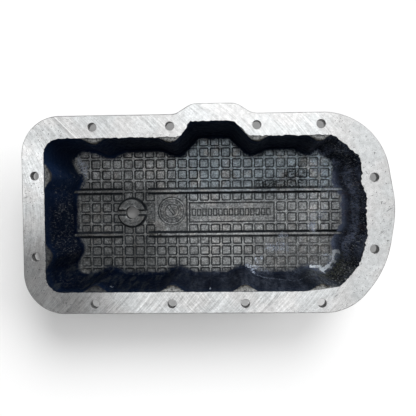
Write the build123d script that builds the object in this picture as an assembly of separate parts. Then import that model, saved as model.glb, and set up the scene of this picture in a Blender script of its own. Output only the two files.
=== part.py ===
from build123d import *
import math
import os

# Overall heights
pan_height = 91.0
flange_thickness = 10.0
floor_thickness = 6.0
ridge_height = 1.8
wall_thickness = 5.5

# Gasket flange outline
flange_left = 186.6
flange_front = 99.2
flange_back = 101.2
flange_bump = 111.7

# Bolt holes
bolt_hole_dia = 9.0
corner_bolt_x = 114.4
bolt_y = 89.36
inner_bolt_x = -36.1
back_bolt_x = 50.84
front_bolt_x = 37.89
left_bolt_x = -173.72
left_bolt_y = 41.04
right_bolt_x = 166.62
right_bolt_y = 35.68

# Pocket opening at the gasket face
pocket_left = 164.1
pocket_front = 77.4
pocket_back = 78.6
pocket_bump = 94.0
pocket_right = 158.9
pocket_corner_r = 16.0
wall_corner_r = 13.5

# Draft of the pocket walls from the flange down to the floor
side_draft = 4.4
left_draft = 7.6
right_draft = 4.6
recess_draft = 1.9
floor_bevel = 3.0
outer_bevel = 4.0

# Bulges of the wall around the bolts
bulge_depth = 8.0
bulge_half = 15.5
bulge_tip_r = 10.0
bulge_root_r = 9.0
ledge_drop = 4.5

# Waffle pattern on the floor
pitch = 12.7
ridge_top = 1.6
ridge_base = 3.3
grid_x0 = -138.65
grid_margin = 2.5

# Long ribs on the floor
rib_y = 25.4
rib_width = 3.8
rib_top_width = 2.8
rib_height = 2.6
rib_gap_left = -101.0
rib_gap_right = -60.0
rib_slope = 3.0
rib_ramp = 12.0

# Drain boss
drain_x = -90.0
drain_y = 0.5
boss_dia = 31.5
boss_draft = 0.4
boss_height = 5.5
drain_hole_dia = 14.4
drain_channel = 6.2
drain_seat_dia = 30.0
drain_seat_depth = 0.6

# Round dial and long plate in the pattern
dial_x = -43.4
dial_y = 1.9
dial_radius = 15.6
dial_ring = 1.2
dial_inner_share = 0.62
dial_ticks = 12
dial_tick_width = 1.1
dial_pointer_width = 2.0
dial_pointer_angle = 125.0
dial_relief = 0.7
dial_cells = (6, 9)
dial_field_half = 20.6
plate_cells = (9, 17)
plate_rows = 1
bar_count = 15
bar_width = 3.0
bar_length = 6.4
bar_relief = 0.5

# Small upright rib on the front wall
wall_rib_x = 2.4
wall_rib_width = 2.2
wall_rib_reach = 1.6
wall_rib_length = 52.0

# Depth by which raised forms are rooted in what carries them
root = 0.5

floor_z = floor_thickness
ridge_z = floor_thickness + ridge_height
ledge_z = pan_height - ledge_drop
flange_z = pan_height - flange_thickness


# Plane outlines
def turn_sign(before, here, after):
    ax, ay = here[0] - before[0], here[1] - before[1]
    bx, by = after[0] - here[0], after[1] - here[1]
    return ax * by - ay * bx


def moved_side(a, b, amount):
    """The side from a to b, moved to its left by amount."""
    dx, dy = b[0] - a[0], b[1] - a[1]
    length = math.hypot(dx, dy)
    nx, ny = -dy / length * amount, dx / length * amount
    return (a[0] + nx, a[1] + ny, dx / length, dy / length)


def meeting_point(p, q):
    """Where two sides meet, each given by a point and a direction."""
    cross = p[2] * q[3] - p[3] * q[2]
    along = ((q[0] - p[0]) * q[3] - (q[1] - p[1]) * q[2]) / cross
    return (p[0] + p[2] * along, p[1] + p[3] * along)


def grown(corners, amount):
    """The corners with every side moved outwards by one amount."""
    count = len(corners)
    result = []
    for i in range(count):
        before, here, after = corners[i - 1], corners[i], corners[(i + 1) % count]
        x, y = meeting_point(moved_side(before, here, -amount), moved_side(here, after, -amount))
        radius = here[2] + amount if turn_sign(before, here, after) > 0 else here[2]
        result.append((x, y, radius))
    return result


def outline(corners, z):
    """A closed face through corners given as x, y and corner radius."""
    points = [(x, y) for x, y, r in corners]
    radii = [r for x, y, r in corners]
    with BuildSketch(Plane.XY.offset(z)) as sketch:
        with BuildLine():
            FilletPolyline(*points, radius=radii, close=True)
        make_face()
    return sketch.sketch.face()


def flange_corners():
    return [
        (-flange_left, -flange_front, 42.0),
        (142.5, -flange_front, 54.0),
        (179.0, -55.5, 100.0),
        (188.3, 4.5, 100.0),
        (171.5, flange_back, 67.0),
        (46.2, flange_back, 20.0),
        (30.3, flange_bump, 18.0),
        (-13.9, flange_bump, 18.0),
        (-30.8, flange_back, 15.0),
        (-flange_left, flange_back, 39.0),
    ]


def opening_corners():
    return [
        (-pocket_left, -pocket_front, pocket_corner_r),
        (97.0, -pocket_front, 40.0),
        (134.0, -73.0, 22.0),
        (154.5, -46.0, 30.0),
        (pocket_right, -22.0, 8.0),
        (pocket_right, 20.0, 6.0),
        (154.2, 30.0, 6.0),
        (154.2, 55.5, 22.0),
        (126.5, pocket_back, 22.0),
        (43.5, pocket_back, 7.0),
        (27.8, pocket_bump, 8.0),
        (-15.8, pocket_bump, 5.0),
        (-25.6, pocket_back, 5.0),
        (-pocket_left, pocket_back, pocket_corner_r),
    ]


def bulge(x, y, along, inward, depth, half):
    """Root, tip and root of one bulge, along and inward being unit directions."""
    ax, ay = along
    nx, ny = inward
    return [
        (x - ax * half, y - ay * half, bulge_root_r),
        (x + nx * depth, y + ny * depth, bulge_tip_r),
        (x + ax * half, y + ay * half, bulge_root_r),
    ]


def wall_corners(t):
    """Wall line, t from 0 under the flange to 1 at the floor."""
    depth, half = bulge_depth, bulge_half
    front = -(pocket_front - side_draft * t)
    back = pocket_back - side_draft * t
    left = -(pocket_left - left_draft * t)
    right = pocket_right - recess_draft * t
    bump = pocket_bump - (side_draft + 1.0) * t
    neck = right_draft * t
    corners = [(left, front, wall_corner_r)]
    for x in (-corner_bolt_x, inner_bolt_x, front_bolt_x):
        corners += bulge(x, front, (1, 0), (0, 1), depth, half)
    corners += [
        (corner_bolt_x - half, front, bulge_root_r),
        (110.0 + 0.6 * depth, front + depth, bulge_tip_r),
        (131.0 + 1.5 * t, -74.0 + 3.0 * t, 10.0),
        (152.0 - 0.8 * neck, -51.0, 10.0),
        (156.0 - 0.9 * depth - 0.8 * neck, -right_bolt_y, bulge_tip_r),
        (right, -20.0 + 5.0 * t, 8.0),
        (right, 19.0, 6.0),
        (154.4 - 0.65 * depth - 0.8 * neck, 32.0 + 0.5 * depth, bulge_tip_r),
        (154.0 - neck, 55.0, 14.0),
        (126.0, back, 5.0),
        (118.0 - 0.45 * depth, back - depth, bulge_tip_r - 1.0),
        (corner_bolt_x - half, back, bulge_root_r),
        (back_bolt_x + half, back, bulge_root_r),
        (44.5 + 0.55 * depth, back - depth, bulge_tip_r),
        (27.0 - 2.0 * t, bump, 8.0),
        (-15.0 + 3.0 * t, bump, 6.0),
        (-26.5 - 0.9 * depth, back - depth, bulge_tip_r),
        (inner_bolt_x - half, back, bulge_root_r),
    ]
    corners += bulge(-corner_bolt_x, back, (-1, 0), (0, -1), depth, half)
    corners.append((left, back, wall_corner_r))
    for y in (left_bolt_y, -left_bolt_y):
        corners += bulge(left, y, (0, -1), (1, 0), depth, half)
    return corners


# Bolt places
def bolt_places():
    long_sides = [
        (-corner_bolt_x, bolt_y),
        (inner_bolt_x, bolt_y),
        (back_bolt_x, bolt_y),
        (corner_bolt_x, bolt_y),
        (-corner_bolt_x, -bolt_y),
        (inner_bolt_x, -bolt_y),
        (front_bolt_x, -bolt_y),
        (corner_bolt_x, -bolt_y),
    ]
    ends = [
        (left_bolt_x, left_bolt_y),
        (left_bolt_x, -left_bolt_y),
        (right_bolt_x, right_bolt_y),
        (right_bolt_x, -right_bolt_y),
    ]
    return long_sides + ends


# Casting shell
def outer_shell():
    flange = extrude(outline(flange_corners(), flange_z), flange_thickness, dir=(0, 0, 1))
    skin = grown(wall_corners(1.0), wall_thickness)
    top = outline(grown(wall_corners(0.0), wall_thickness), flange_z + 1.0)
    low = outline(skin, outer_bevel)
    base = outline(grown(skin, -outer_bevel * 0.6), 0.0)
    return flange + loft([low, top], ruled=True) + loft([base, low], ruled=True)


def pocket_space():
    mouth = extrude(outline(opening_corners(), ledge_z), ledge_drop + 1.0, dir=(0, 0, 1))
    upper = outline(wall_corners(0.0), ledge_z)
    foot = outline(wall_corners(1.0), ridge_z + floor_bevel)
    floor = outline(grown(wall_corners(1.0), -floor_bevel * 0.8), ridge_z)
    return mouth + loft([foot, upper], ruled=True) + loft([floor, foot], ruled=True)


# Floor pattern
def grid_x(n):
    return grid_x0 + pitch * n


def box_between(x0, x1, y0, y1, z0, z1):
    return Pos((x0 + x1) / 2, (y0 + y1) / 2, (z0 + z1) / 2) * Box(x1 - x0, y1 - y0, z1 - z0)


def near_wall(x, y):
    """Whether a cell centred on x, y may touch the wall or its bulges."""
    reach = pitch / 2 + bulge_depth + grid_margin + 1.5
    in_length = -(pocket_left - left_draft) + reach < x < 154.0 - right_draft - reach
    return not (in_length and abs(y) < pocket_front - side_draft - reach)


def waffle_cells():
    """Tapered square pockets, left out under the dial, the plate and the boss."""
    base, mouth = pitch - ridge_base, pitch - ridge_top
    edge = (mouth - base) / 2
    pocket = Rot(-90, 0, 0) * Wedge(mouth, ridge_height, mouth, edge, edge, mouth - edge, mouth - edge)
    pocket = Pos(0, 0, floor_z + ridge_height / 2) * pocket
    inner, outer = [], []
    for n in range(-2, 24):
        for row in range(-7, 7):
            x, y = grid_x(n + 0.5), pitch * (row + 0.5)
            in_dial = dial_cells[0] <= n < dial_cells[1] and -2 <= row < 2
            in_plate = plate_cells[0] <= n < plate_cells[1] and -plate_rows <= row < plate_rows
            in_boss = math.hypot(x - drain_x, y - drain_y) < boss_dia / 2 + pitch * 0.5
            if in_dial or in_plate:
                continue
            if near_wall(x, y) or in_boss:
                outer.append(Pos(x, y, 0) * pocket)
            else:
                inner.append(Pos(x, y, 0) * pocket)
    limit = outline(grown(wall_corners(1.0), -grid_margin), floor_z - 1.0)
    field = extrude(limit, ridge_height + 3.0, dir=(0, 0, 1))
    field = field - Pos(drain_x, drain_y, floor_z) * Cylinder(boss_dia / 2 + 0.8, 20.0)
    return inner + (Compound(outer) & field).solids()


def flat_fields():
    """Smooth recesses that hold the dial and the plate."""
    edge = ridge_base / 2
    dial = box_between(
        grid_x(dial_cells[0]) + edge, grid_x(dial_cells[1]) - edge,
        -dial_field_half, dial_field_half, floor_z, ridge_z + 1.0)
    plate = box_between(
        grid_x(plate_cells[0]) + edge, grid_x(plate_cells[1]) - edge,
        -pitch * plate_rows + edge, pitch * plate_rows - edge, floor_z, ridge_z + 1.0)
    return [dial, plate]


def dial():
    """Two raised rings with ticks between them and a pointer inside."""
    tall = dial_relief + root
    centre = Pos(dial_x, dial_y, floor_z - root + tall / 2)
    inner_radius = dial_radius * dial_inner_share
    rings = [
        Cylinder(radius, tall) - Cylinder(radius - dial_ring, tall)
        for radius in (dial_radius, inner_radius)
    ]
    tick_x = (dial_radius - dial_ring + inner_radius) / 2
    tick_length = (dial_radius - dial_ring - inner_radius) * 0.75
    ticks = [
        Rot(0, 0, 360 / dial_ticks * k) * Pos(tick_x, 0, 0) * Box(tick_length, dial_tick_width, tall)
        for k in range(dial_ticks)
    ]
    length = inner_radius * 0.8
    pointer = Pos(length * 0.44, 0, 0) * Box(length, dial_pointer_width, tall)
    return [centre * piece for piece in rings + ticks + [Rot(0, 0, dial_pointer_angle) * pointer]]


def plate_bars():
    """Row of plain upright bars on the long plate."""
    first = grid_x(plate_cells[0]) + pitch / 2
    last = grid_x(plate_cells[1]) - pitch / 2
    step = (last - first) / (bar_count - 1)
    tall = bar_relief + root
    return [
        Pos(first + step * k, 0, floor_z - root + tall / 2) * Box(bar_width, bar_length, tall)
        for k in range(bar_count)
    ]


# Long ribs
def slab(plane, points, half):
    """A prism through the given points, half to either side of the plane."""
    with BuildSketch(plane) as sketch:
        with BuildLine():
            Polyline(*points, close=True)
        make_face()
    return extrude(sketch.sketch, half, both=True)


def long_rib(points, y):
    """A rib of the given x and z profile, centred on y, narrower at the top."""
    low, top = floor_z - root, ridge_z + rib_height
    section = [(y - rib_width / 2, low), (y + rib_width / 2, low),
               (y + rib_top_width / 2, top), (y - rib_top_width / 2, top)]
    return slab(Plane.XZ.offset(-y), points, rib_width) & slab(Plane.YZ, section, flange_left)


def floor_ribs():
    """Two pairs of ribs, each pair broken beside the drain boss."""
    low, top = floor_z - root, ridge_z + rib_height
    left = -(pocket_left - left_draft) - wall_thickness / 2
    right = pocket_right - right_draft
    ribs = []
    for y in (-rib_y, rib_y):
        ribs.append(long_rib([(left, low), (rib_gap_left, low), (rib_gap_left, ridge_z),
                              (rib_gap_left - rib_slope, top), (left, top)], y))
        ribs.append(long_rib([(rib_gap_right - rib_ramp, low), (right, low), (right, top),
                              (rib_gap_right, top), (rib_gap_right - rib_ramp, ridge_z)], y))
    return ribs


def wall_rib():
    """Upright rib that follows the draft of the front wall and runs out at its lower end."""
    high = ledge_z - wall_rib_reach
    low = high - wall_rib_length
    t = wall_rib_length / (high - ridge_z)
    y_high = -pocket_front
    y_low = y_high + side_draft * t
    points = [(y_high - root, high), (y_high + wall_rib_reach, high),
              (y_low + wall_rib_reach, low + wall_rib_reach), (y_low - root, low - wall_rib_reach)]
    return slab(Plane.YZ.offset(wall_rib_x), points, wall_rib_width / 2)


# Drain boss
def drain_boss():
    """Raised round boss with drafted sides, split by a level channel."""
    tall = boss_height + root
    boss = Pos(drain_x, drain_y, floor_z - root + tall / 2) * Cone(
        boss_dia / 2, boss_dia / 2 - boss_draft, tall)
    channel = box_between(
        drain_x - boss_dia, drain_x + boss_dia,
        drain_y - drain_channel / 2, drain_y + drain_channel / 2,
        floor_z, floor_z + tall)
    return boss - channel


def drilled_holes():
    bolts = [
        Pos(x, y, flange_z + flange_thickness / 2) * Cylinder(
            bolt_hole_dia / 2, flange_thickness + 2.0)
        for x, y in bolt_places()
    ]
    drain = Pos(drain_x, drain_y, 0.0) * Cylinder(drain_hole_dia / 2, 4 * (floor_z + boss_height))
    seat = Pos(drain_x, drain_y, 0.0) * Cylinder(drain_seat_dia / 2, 2 * drain_seat_depth)
    return bolts + [drain, seat]


def oil_pan():
    pan = outer_shell() - pocket_space()
    pan = pan - (waffle_cells() + flat_fields())
    pan = pan + (floor_ribs() + [wall_rib(), drain_boss()] + dial() + plate_bars())
    return pan - drilled_holes()


def main():
    os.makedirs("parts", exist_ok=True)
    pan = oil_pan()
    pan.label = "oil_pan"
    export_step(pan, "parts/oil_pan.step")


main()
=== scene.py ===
from functools import partialmethod
import math
from math import cos, hypot, pi, radians, sin
import bpy
from mathutils import Matrix, Vector, noise
from mathutils.geometry import delaunay_2d_cdt

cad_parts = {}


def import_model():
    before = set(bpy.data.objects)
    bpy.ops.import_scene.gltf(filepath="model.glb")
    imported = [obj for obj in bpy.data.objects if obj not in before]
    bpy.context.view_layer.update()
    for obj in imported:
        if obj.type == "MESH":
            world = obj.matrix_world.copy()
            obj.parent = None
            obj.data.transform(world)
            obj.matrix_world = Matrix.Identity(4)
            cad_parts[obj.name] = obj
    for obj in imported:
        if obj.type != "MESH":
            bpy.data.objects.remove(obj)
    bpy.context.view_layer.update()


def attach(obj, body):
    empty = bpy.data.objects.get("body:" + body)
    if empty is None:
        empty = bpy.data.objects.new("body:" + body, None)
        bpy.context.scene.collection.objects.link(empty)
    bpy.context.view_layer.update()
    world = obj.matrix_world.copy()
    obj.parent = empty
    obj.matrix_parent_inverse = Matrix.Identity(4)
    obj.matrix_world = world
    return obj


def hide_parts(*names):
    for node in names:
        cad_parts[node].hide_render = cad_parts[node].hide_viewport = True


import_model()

# Sizes of the casting in millimetres
HEIGHT = 91.0
FLANGE_T = 10.0
FLANGE_EDGE = 0.8
FLOOR_Z = 6.0
RIDGE_Z = 7.8
WALL_T = 5.5
BASE_R = 5.0
LEDGE_TOP = HEIGHT - 3 + 0.6
LEDGE_LOW = HEIGHT - 6
DEPTH = 8.0
FIRST_DEPTH = 0.6
DRAFT = 4.4
FOOT_R = 3.6
PITCH = 12.7
GRID_X0 = -138.65
RIB_Y = 25.4
RIB_RISE = 2.6
DRAIN = (-90.0, 0.5)
DRAIN_R = 7.2
LIP_R = DRAIN_R + 0.2
BOSS_R = 15.75
CHANNEL = 3.1
SPOT_R = 15.0
SPOT_DEPTH = 0.6
THREAD_PITCH = 1.5
THREAD_DEPTH = 0.75
SIDES = 64
DIAL = (-43.4, 1.9)
TICK_R = 12.0
POINTER_R = 1.5
POINTER = radians(125)
BAR_X = -17.85
BAR_SPAN = 69.25 - BAR_X
HOLE_R = 4.5
CHAMFER = 0.35

# Bolt holes in plan
ROW_Y = 89.36
END_X = 114.4
MID_X = -36.1
BACK_X = (-END_X, MID_X, 50.84, END_X)
FRONT_X = (-END_X, MID_X, 37.89, END_X)
LEFT_HOLE = (-173.72, 41.04)
RIGHT_HOLE = (166.62, 35.68)
HOLES = [(x, ROW_Y) for x in BACK_X] + [(x, -ROW_Y) for x in FRONT_X]
HOLES += [(x, side * y) for x, y in (LEFT_HOLE, RIGHT_HOLE) for side in (1, -1)]

# Straight stretches of the wall line just under the flange
LEFT_X, RIGHT_X = -164.1, 158.9
FRONT_Y, BACK_Y, BUMP_Y = -77.4, 78.6, 94.0

# Corners of the flange and of its opening: x, y and radius
FLANGE = [
    (-186.6, -99.2, 42), (142.5, -99.2, 54), (179, -55.5, 100), (188.3, 4.5, 100),
    (171.5, 101.2, 67), (46.2, 101.2, 20), (30.3, 111.7, 18), (-13.9, 111.7, 18),
    (-30.8, 101.2, 15), (-186.6, 101.2, 39),
]
OPENING = [
    (LEFT_X, FRONT_Y, 16), (97, FRONT_Y, 40), (134, -73, 22), (154.5, -46, 30), (RIGHT_X, -22, 8),
    (RIGHT_X, 20, 6), (154.2, 30, 6), (154.2, 55.5, 22), (126.5, BACK_Y, 22), (43.5, BACK_Y, 7),
    (27.8, BUMP_Y, 8), (-15.8, BUMP_Y, 5), (-25.6, BACK_Y, 5), (LEFT_X, BACK_Y, 16),
]

# Marks on vertices: dark film, oxide, dirt and waffle pattern; the dark film is oil film on the
# walls and also painted shade at the feet of raised forms and along the floor by the walls
NO_MARKS = (0, 0, 0, 0)
WALL_FILM = (1, 0, 0, 0)
# Painted shade at the feet of raised forms, carried as dark film
FOOT_DARK = (0.9, 0, 0, 0)
EDGE_DARK = (0.45, 0, 0, 0)
PATTERNED = (0, 0, 0, 1)


# Outlines
def bulge(x, y, along, inward, depth, half):
    """Three corners of the inward bulge of a wall at a bolt."""
    ax, ay = along
    nx, ny = inward
    return [
        (x - ax * half, y - ay * half, 9),
        (x + nx * depth, y + ny * depth, 10),
        (x + ax * half, y + ay * half, 9),
    ]


def wall_line(t, depth):
    """Wall line in plan, t from 0 under the flange to 1 at the floor."""
    front = FRONT_Y + DRAFT * t
    back = BACK_Y - DRAFT * t
    left = LEFT_X + 7.6 * t
    right = RIGHT_X - 1.9 * t
    bump = BUMP_Y - 5.4 * t
    neck = 4.6 * t
    half = 14 + 3 * t
    corner_r = 16 - 4.5 * t
    line = [(left, front, corner_r)]
    for x in FRONT_X[:3]:
        line += bulge(x, front, (1, 0), (0, 1), depth, half)
    line += [
        (END_X - half, front, 9), (110 + 0.6 * depth, front + depth, 10),
        (131 + t, -74 + t, 10), (152 - 0.8 * neck, -51, 10),
        (156 - 0.9 * depth - 0.8 * neck, -RIGHT_HOLE[1], 10),
        (right, -20 + 5 * t, 8), (right, 19, 6),
        (154.4 - 0.65 * depth - 0.8 * neck, 32 + 0.5 * depth, 10),
        (154 - neck, 55, 14), (126, back, 5),
        (118 - 0.45 * depth, back - depth, 9), (END_X - half, back, 9),
        (BACK_X[2] + half, back, 9), (44.5 + 0.55 * depth, back - depth, 10),
        (27 - 2 * t, bump, 8), (-15 + 3 * t, bump, 6),
        (-26.5 - 0.9 * depth, back - depth, 10), (MID_X - half, back, 9),
    ]
    line += bulge(-END_X, back, (-1, 0), (0, -1), depth, half)
    line.append((left, back, corner_r))
    for y in (LEFT_HOLE[1], -LEFT_HOLE[1]):
        line += bulge(left, y, (0, -1), (1, 0), depth + t, half)
    return line


def grown(corners, amount):
    """The corners with every side moved outwards by one amount."""
    n = len(corners)
    result = []
    for i in range(n):
        a, b, c = corners[i - 1], corners[i], corners[(i + 1) % n]
        d1 = Vector((b[0] - a[0], b[1] - a[1])).normalized()
        d2 = Vector((c[0] - b[0], c[1] - b[1])).normalized()
        cross = d1.x * d2.y - d1.y * d2.x
        p = Vector((a[0], a[1])) + Vector((d1.y, -d1.x)) * amount
        q = Vector((b[0], b[1])) + Vector((d2.y, -d2.x)) * amount
        along = ((q - p).x * d2.y - (q - p).y * d2.x) / cross
        meet = p + d1 * along
        result.append((meet.x, meet.y, b[2] + amount if cross > 0 else b[2]))
    return result


def corner_arc(a, b, c):
    """Start, end, centre and signed turn of the arc that rounds corner b."""
    p = Vector(b[:2])
    d1 = (p - Vector(a[:2])).normalized()
    d2 = (Vector(c[:2]) - p).normalized()
    turn = math.atan2(d1.x * d2.y - d1.y * d2.x, d1.dot(d2))
    cut = b[2] * abs(math.tan(turn / 2))
    side = 1 if turn > 0 else -1
    centre = p - d1 * cut + Vector((-d1.y, d1.x)) * b[2] * side
    return p - d1 * cut, p + d2 * cut, centre, turn


def arcs_of(corners):
    n = len(corners)
    return [corner_arc(corners[i - 1], corners[i], corners[(i + 1) % n]) for i in range(n)]


def counts_for(corners, step):
    """How many steps each arc and each side takes at the given spacing."""
    arcs = arcs_of(corners)
    result = []
    for i, arc in enumerate(arcs):
        length = corners[i][2] * abs(arc[3])
        side = (arcs[(i + 1) % len(arcs)][0] - arc[1]).length
        result.append((max(2, round(length / min(step, 1.6))), max(1, round(side / step))))
    return result


def sampled(corners, counts):
    """Points along a rounded closed outline, with given counts for arcs and sides."""
    arcs = arcs_of(corners)
    points = []
    for i, (start, end, centre, turn) in enumerate(arcs):
        on_arc, on_side = counts[i]
        spoke = start - centre
        for k in range(on_arc):
            a = turn * k / on_arc
            points.append(centre + Vector((
                spoke.x * cos(a) - spoke.y * sin(a),
                spoke.x * sin(a) + spoke.y * cos(a))))
        goal = arcs[(i + 1) % len(arcs)][0]
        points += [end.lerp(goal, k / on_side) for k in range(on_side)]
    return points


def normals_of(points):
    """Unit normals to the left of a closed line, which is inwards on these outlines."""
    n = len(points)
    result = []
    for i in range(n):
        d = points[(i + 1) % n] - points[i - 1]
        result.append(Vector((-d.y, d.x)).normalized())
    return result


# Mesh builder
class Build:
    """Vertices with their marks, and faces with their material slots."""

    def __init__(self):
        self.verts, self.marks = [], []
        self.faces, self.slots, self.smooth = [], [], []

    def add(self, x, y, z, marks=NO_MARKS):
        self.verts.append((x * 0.001, y * 0.001, z * 0.001))
        self.marks.append(marks)
        return len(self.verts) - 1

    def row(self, points, z, marks=NO_MARKS):
        return [self.add(p[0], p[1], z, marks) for p in points]

    def face(self, loop, slot, smooth=True):
        self.faces.append(loop)
        self.slots.append(slot)
        self.smooth.append(smooth)

    def strip(self, upper, lower, slot, smooth=True):
        """Quads between two closed rows of vertices."""
        n = len(upper)
        for i in range(n):
            j = (i + 1) % n
            self.face((upper[i], upper[j], lower[j], lower[i]), slot, smooth)

    def skin(self, rows, slot, turned=False):
        """Strips from row to row; turned makes them face the other way."""
        for first, second in zip(rows, rows[1:]):
            self.strip(*((second, first) if turned else (first, second)), slot)

    def sheet(self, loops, z, slot, up):
        """Flat sheet between the first loop and the others, which are holes in it."""
        coords, edges = [], []
        for loop in loops:
            start = len(coords)
            coords += [Vector((p[0], p[1])) for p in loop]
            edges += [(start + k, start + (k + 1) % len(loop)) for k in range(len(loop))]
        out = delaunay_2d_cdt(coords, edges, [], 0, 1e-6)
        index = [self.add(p.x, p.y, z) for p in out[0]]
        for tri in out[2]:
            c = sum((out[0][k] for k in tri), Vector((0, 0))) / 3
            kept = [within(c.x, crossings(loop, c.y)) for loop in loops]
            if kept[0] and not any(kept[1:]):
                loop = [index[k] for k in tri]
                a, b, d = (out[0][k] for k in tri[:3])
                ccw = (b - a).x * (d - a).y - (b - a).y * (d - a).x > 0
                self.face(loop if ccw == up else loop[::-1], slot, False)


def crossings(loop, y):
    """The x of each place where a closed line crosses y."""
    hits = []
    for i, a in enumerate(loop):
        c = loop[i - 1]
        if (a.y > y) != (c.y > y):
            hits.append((c.x - a.x) * (y - a.y) / (c.y - a.y) + a.x)
    return hits


def within(x, hits):
    """Whether x lies inside a line with these crossings."""
    return sum(x < h for h in hits) % 2 == 1


def circle(x, y, r, n):
    turns = [2 * pi * k / n for k in range(n)]
    return [Vector((x + r * cos(a), y + r * sin(a))) for a in turns]


def drain_circle(r):
    return circle(*DRAIN, r, SIDES)


def bolt_circles(r):
    return [circle(x, y, r, 40) for x, y in HOLES]


def rough(x, y, z, scale):
    """Smooth random value from -1 to 1 that changes over the given length."""
    return noise.noise(Vector((x / scale, y / scale, z / scale)))


def ramp(a, b, v):
    """Smooth change from 0 at a to 1 at b."""
    t = min(1, max(0, (v - a) / (b - a)))
    return t * t * (3 - 2 * t)


def along(x, y, x1, y1, x2, y2):
    """Distance from x, y to the stretch from x1, y1 to x2, y2."""
    p, q, r = Vector((x, y)), Vector((x1, y1)), Vector((x2, y2))
    d = r - q
    t = min(1, max(0, (p - q).dot(d) / max(d.length_squared, 1e-9)))
    return (p - q - d * t).length


def patch(x, y, shapes):
    """Strength of the patches at x, y, with ragged edges."""
    result = 0
    wobble = 0.5 * rough(x, y, 7, 4) + 0.35 * rough(x, y, 3, 1.6)
    for *ends, reach, strength in shapes:
        d = along(x, y, *ends) / reach + wobble
        result = max(result, strength * (1 - ramp(0.55, 1.15, d)))
    return result


# Stains: two points of a stretch, how far it reaches round it, and how strong it is
OXIDE = [
    (118, -63.8, 127.5, -64.6, 1.7, 1), (127.5, -64.6, 131, -69, 2.6, 1),
    (131, -69, 138, -63, 2.1, 0.95), (138, -63, 143, -57, 1.8, 0.75),
    (143, -57, 144.5, -49, 1.6, 1), (144.5, -47, 151, -45.5, 2.6, 0.95),
    (131.5, -51, 139.5, -51, 1.1, 0.6), (139.8, -51, 139.8, -60, 1.2, 0.6),
    (140, -64, 150, -51, 5.5, 0.36), (54, -55, 56, -58, 2.4, 0.55),
    (60.5, -52.5, 61, -55, 1.8, 0.5), (44, -64, 57, -65.5, 3, 0.5), (60, -67, 66, -68.5, 2.4, 0.3),
    (84, -27.5, 88, -28.5, 3.5, 0.4), (70, -41.5, 88, -41.5, 5.5, 0.28),
    (119.5, -17, 119.5, -19, 5.5, 0.4), (119.5, -6, 132, -2, 7, 0.22),
    (121.5, 57, 131.5, 46, 7.5, 0.22), (133, 28, 146, 24, 6, 0.25),
    (20.4, 58.2, 20.5, 58.3, 1.5, 0.9), (-157, 66, -146, 52, 5, 0.46),
    (-147, 52, -146, 42, 3.5, 0.42),
]
DIRT = [
    (60, 31.5, 106, 32, 7, 0.75), (92, 43, 108, 44, 7, 0.8), (103, 52, 110, 58, 5, 0.6),
    (66, 19.4, 72, 19.4, 5, 0.5), (-69, -24.2, -58.5, -24.2, 3.6, 1),
    (-70, -14, -66, -20, 4.5, 0.5), (-69, 9, -69, -7, 5, 0.45),
]
BARE_BAY = [(-158, 47, -158, 58, 9, 1)]
# The same on the front wall, with points in x and z
FLOW = [
    (50, 9, 56, 15, 2.4, 0.46), (56, 15, 64, 27, 1.9, 0.42), (64, 27, 86, 38, 1.5, 0.36),
    (86, 38, 118, 44, 1.4, 0.32), (-102.4, 68, -101.8, 69.5, 1, 0.6),
]


# Casting shell
def nearest_on(p, line):
    """The nearest point to p on a closed line."""
    n = len(line)
    best = min(range(n), key=lambda i: (line[i] - p).length_squared)
    result = line[best]
    low = (result - p).length_squared
    for j in (best - 1, best):
        a, b = line[j % n], line[(j + 1) % n]
        ab = b - a
        t = min(1, max(0, (p - a).dot(ab) / max(ab.length_squared, 1e-9)))
        q = a + ab * t
        if (q - p).length_squared < low:
            result, low = q, (q - p).length_squared
    return result


def mouth_jag(x, y):
    """How far the ragged edge of the mouth reaches in over its plain line."""
    right = ramp(118, 150, x)
    back = 0.5 * ramp(60, 75, y)
    low_left = 0.45 * ramp(-130, -155, x) * ramp(-50, -68, y)
    size = 0.2 + 0.95 * right + back * (1 - right) + low_left
    return size * (rough(x, y, 3.1, 2.3) + rough(x, y, 9.7, 1.3) + 0.7 * rough(x, y, 1.3, 6))


def wall_bumps(x, y, z):
    """Height of the cast skin over the plain wall."""
    lumps = 0.9 * rough(x, y, z, 26) + 0.55 * rough(x, y, z * 0.7, 9)
    grain = 0.34 * rough(x, y, z, 3.4) + 0.16 * rough(x, y, z, 1.7)
    return lumps + grain * (1 + 0.9 * ramp(110, 150, abs(x)))


def flow_line(x, y, z):
    """Pale line and a speck on the front wall, and oxide round its foot."""
    if z < 26 and x > 100:
        return patch(x, y, OXIDE) * (1 - ramp(18, 26, z))
    if y > -60:
        return 0
    line = 0
    wander = z - 1.2 * rough(x, 0, 0, 9)
    for *ends, reach, strength in FLOW:
        near = 1 - ramp(0.5 * reach, 1.6 * reach, along(x, wander, *ends))
        line = max(line, strength * near)
    return line


def foot_film(x, y, z, down):
    """Oil film at the foot of the wall, down running from 0 to 1 over its fillet."""
    left = ramp(-135, -146, x)
    back = (1 - left) * ramp(40, 60, y) * ramp(0, 80, x)
    film = 1 - 0.3 * down ** 3 - left * 0.42 * down ** 1.2 - back * 0.15 * down
    bay = patch(x, y, BARE_BAY) * ramp(24, 9, z)
    return film * (1 - 0.62 * bay)


def lean(z):
    """How far down the wall z lies, from 0 under the ledges to 1 at the floor."""
    return (LEDGE_LOW - z) / (LEDGE_LOW - RIDGE_Z)


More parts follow.
